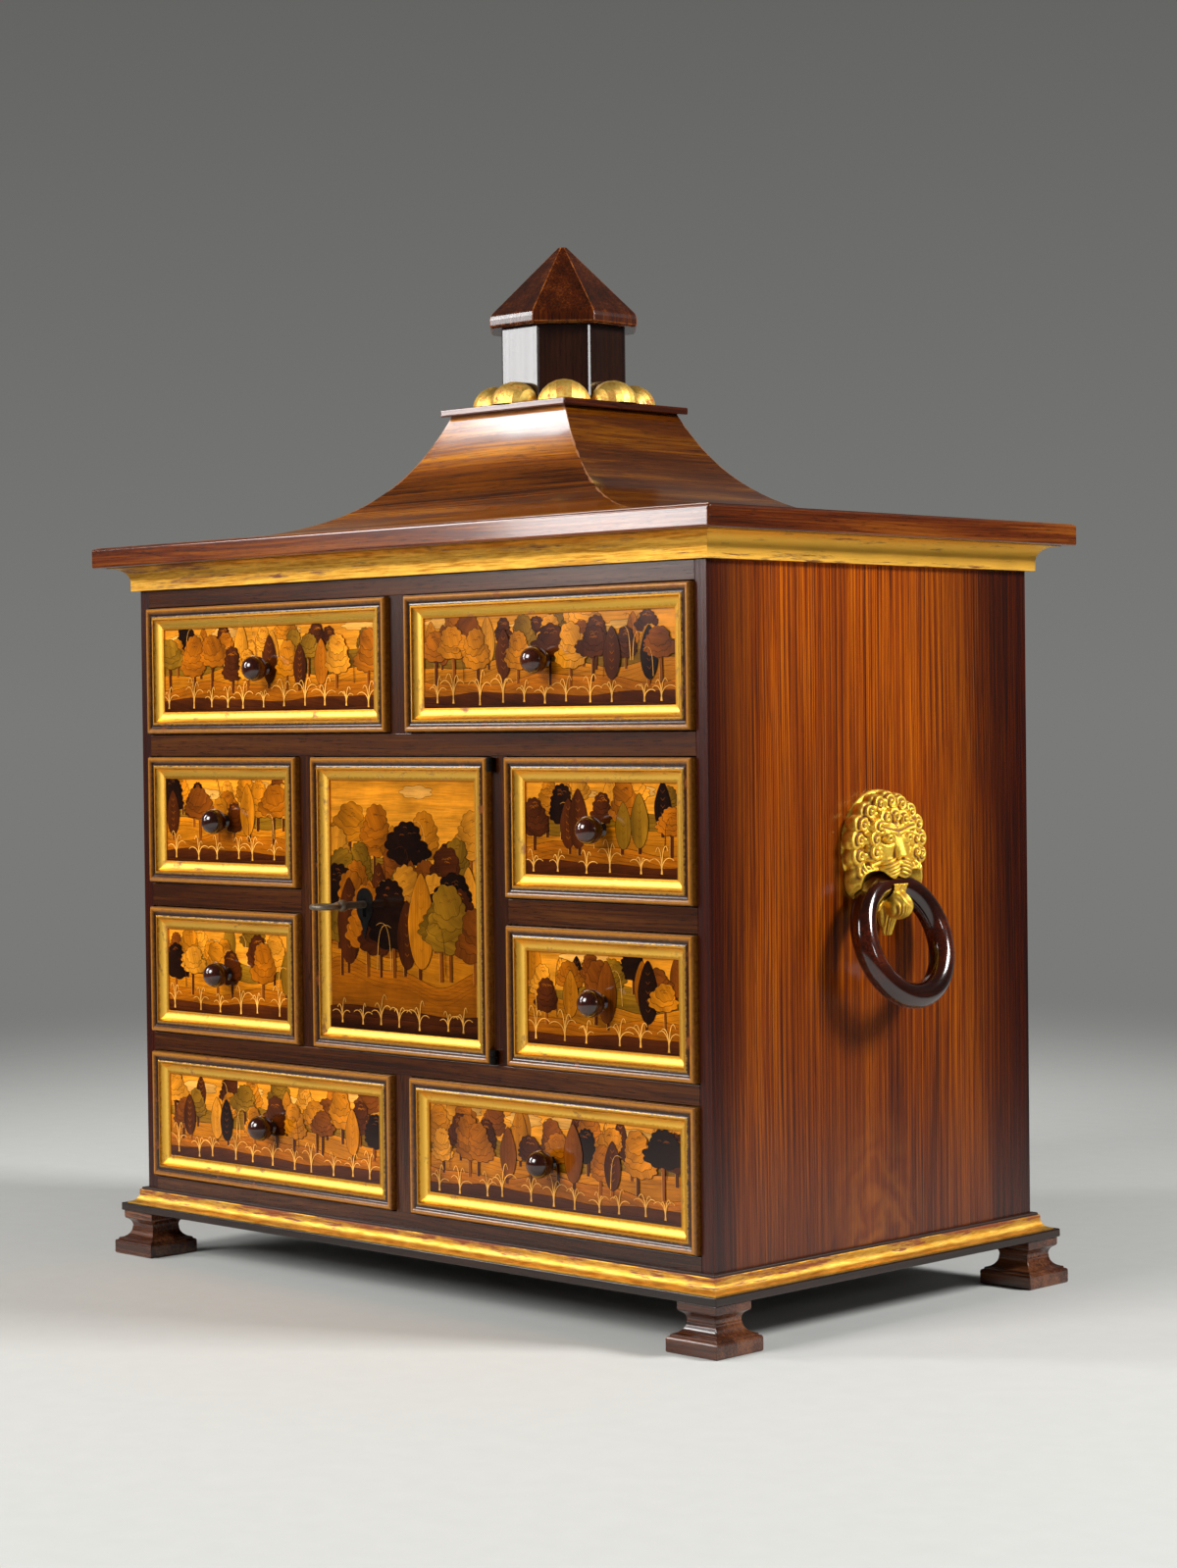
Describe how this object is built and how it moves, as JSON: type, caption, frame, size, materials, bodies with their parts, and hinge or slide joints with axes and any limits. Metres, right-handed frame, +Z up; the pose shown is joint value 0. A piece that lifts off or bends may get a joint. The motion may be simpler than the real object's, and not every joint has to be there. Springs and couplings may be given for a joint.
{
  "type": "table cabinet",
  "caption": "Free-standing table cabinet: inlaid drawers round a small locking door, gilt mouldings, hipped roof with a lantern, and a ring handle on each side.",
  "frame": {"origin": "on the floor plane under the middle of the whole object's box", "axes": "+Z up, -Y towards the front with the drawers, +X to the right as seen from the front"},
  "size_m": [0.5712, 0.3484, 0.6411],
  "materials": {
    "rosewood": "polished",
    "dark_wood": "polished",
    "plain_wood": "planed",
    "inlaid_wood": "polished inlay",
    "gilt_wood": "worn gilding",
    "turned_dark_wood": "turned and polished",
    "dark_iron": "blackened"
  },
  "bodies": {
    "case": {"plinth_slab": "dark_wood", "feet": "dark_wood", "side_panel_left": "rosewood", "side_panel_right": "rosewood", "bottom_board": "dark_wood", "top_board": "plain_wood", "top_rail": "dark_wood", "back_panel": "plain_wood", "shelf_lower": "dark_wood", "shelf_upper": "dark_wood", "divider_bottom": "dark_wood", "divider_top": "dark_wood", "stack_shelf_left": "dark_wood", "stack_shelf_right": "dark_wood", "door_post_left": "dark_wood", "door_post_right": "dark_wood", "top_slab": "rosewood", "roof": "rosewood", "cap_slab": "rosewood", "gilt_beads": "gilt_wood", "lantern": "dark_wood", "lantern_roof": "rosewood", "base_moulding": "gilt_wood", "cornice_moulding": "gilt_wood", "hinge_eyes": "dark_iron", "lion_masks": "gilt_wood"},
    "drawer_top_left": {"drawer_top_left_box": "plain_wood", "drawer_top_left_frame": "gilt_wood", "drawer_top_left_knob": "turned_dark_wood"},
    "drawer_top_right": {"drawer_top_right_box": "plain_wood", "drawer_top_right_frame": "gilt_wood", "drawer_top_right_knob": "turned_dark_wood"},
    "drawer_left_upper": {"drawer_left_upper_box": "plain_wood", "drawer_left_upper_frame": "gilt_wood", "drawer_left_upper_knob": "turned_dark_wood"},
    "drawer_left_lower": {"drawer_left_lower_box": "plain_wood", "drawer_left_lower_frame": "gilt_wood", "drawer_left_lower_knob": "turned_dark_wood"},
    "drawer_right_upper": {"drawer_right_upper_box": "plain_wood", "drawer_right_upper_frame": "gilt_wood", "drawer_right_upper_knob": "turned_dark_wood"},
    "drawer_right_lower": {"drawer_right_lower_box": "plain_wood", "drawer_right_lower_frame": "gilt_wood", "drawer_right_lower_knob": "turned_dark_wood"},
    "drawer_bottom_left": {"drawer_bottom_left_box": "plain_wood", "drawer_bottom_left_frame": "gilt_wood", "drawer_bottom_left_knob": "turned_dark_wood"},
    "drawer_bottom_right": {"drawer_bottom_right_box": "plain_wood", "drawer_bottom_right_frame": "gilt_wood", "drawer_bottom_right_knob": "turned_dark_wood"},
    "door": {"door_board": "inlaid_wood", "door_frame": "gilt_wood", "hinge_pins": "dark_iron", "escutcheon": "dark_iron", "lock_case": "dark_iron"},
    "key": {"key": "dark_iron"},
    "bolt": {"lock_bolt": "dark_iron"},
    "ring_left": {"ring_left": "turned_dark_wood"},
    "ring_right": {"ring_right": "turned_dark_wood"}
  },
  "joints": [
    {"name": "drawer_top_left_slide", "type": "slide", "parent": "case", "child": "drawer_top_left", "axis": [0, -1, 0], "range_m": [0, 0.19]},
    {"name": "drawer_top_right_slide", "type": "slide", "parent": "case", "child": "drawer_top_right", "axis": [0, -1, 0], "range_m": [0, 0.19]},
    {"name": "drawer_left_upper_slide", "type": "slide", "parent": "case", "child": "drawer_left_upper", "axis": [0, -1, 0], "range_m": [0, 0.19]},
    {"name": "drawer_left_lower_slide", "type": "slide", "parent": "case", "child": "drawer_left_lower", "axis": [0, -1, 0], "range_m": [0, 0.19]},
    {"name": "drawer_right_upper_slide", "type": "slide", "parent": "case", "child": "drawer_right_upper", "axis": [0, -1, 0], "range_m": [0, 0.19]},
    {"name": "drawer_right_lower_slide", "type": "slide", "parent": "case", "child": "drawer_right_lower", "axis": [0, -1, 0], "range_m": [0, 0.19]},
    {"name": "drawer_bottom_left_slide", "type": "slide", "parent": "case", "child": "drawer_bottom_left", "axis": [0, -1, 0], "range_m": [0, 0.19]},
    {"name": "drawer_bottom_right_slide", "type": "slide", "parent": "case", "child": "drawer_bottom_right", "axis": [0, -1, 0], "range_m": [0, 0.19]},
    {"name": "door_hinge", "type": "hinge", "parent": "case", "child": "door", "pos_m": [0.0811, -0.1359, 0.235], "axis": [0, 0, 1], "range_deg": [0, 90]},
    {"name": "key_turn", "type": "hinge", "parent": "door", "child": "key", "pos_m": [-0.033, -0.1333, 0.235], "axis": [0, -1, 0], "range_deg": [0, 180]},
    {"name": "bolt_slide", "type": "slide", "parent": "door", "child": "bolt", "axis": [-1, 0, 0], "range_m": [0, 0.007]},
    {"name": "ring_right_swing", "type": "hinge", "parent": "case", "child": "ring_right", "pos_m": [0.2583, 0.0092, 0.2493], "axis": [0, -1, 0], "range_deg": [0, 75]},
    {"name": "ring_left_swing", "type": "hinge", "parent": "case", "child": "ring_left", "pos_m": [-0.2583, 0.0092, 0.2493], "axis": [0, 1, 0], "range_deg": [0, 75]}
  ],
  "couplings": [
    {"joint": "bolt_slide", "follows": "key_turn", "m_per_rad": 0.002228}
  ]
}
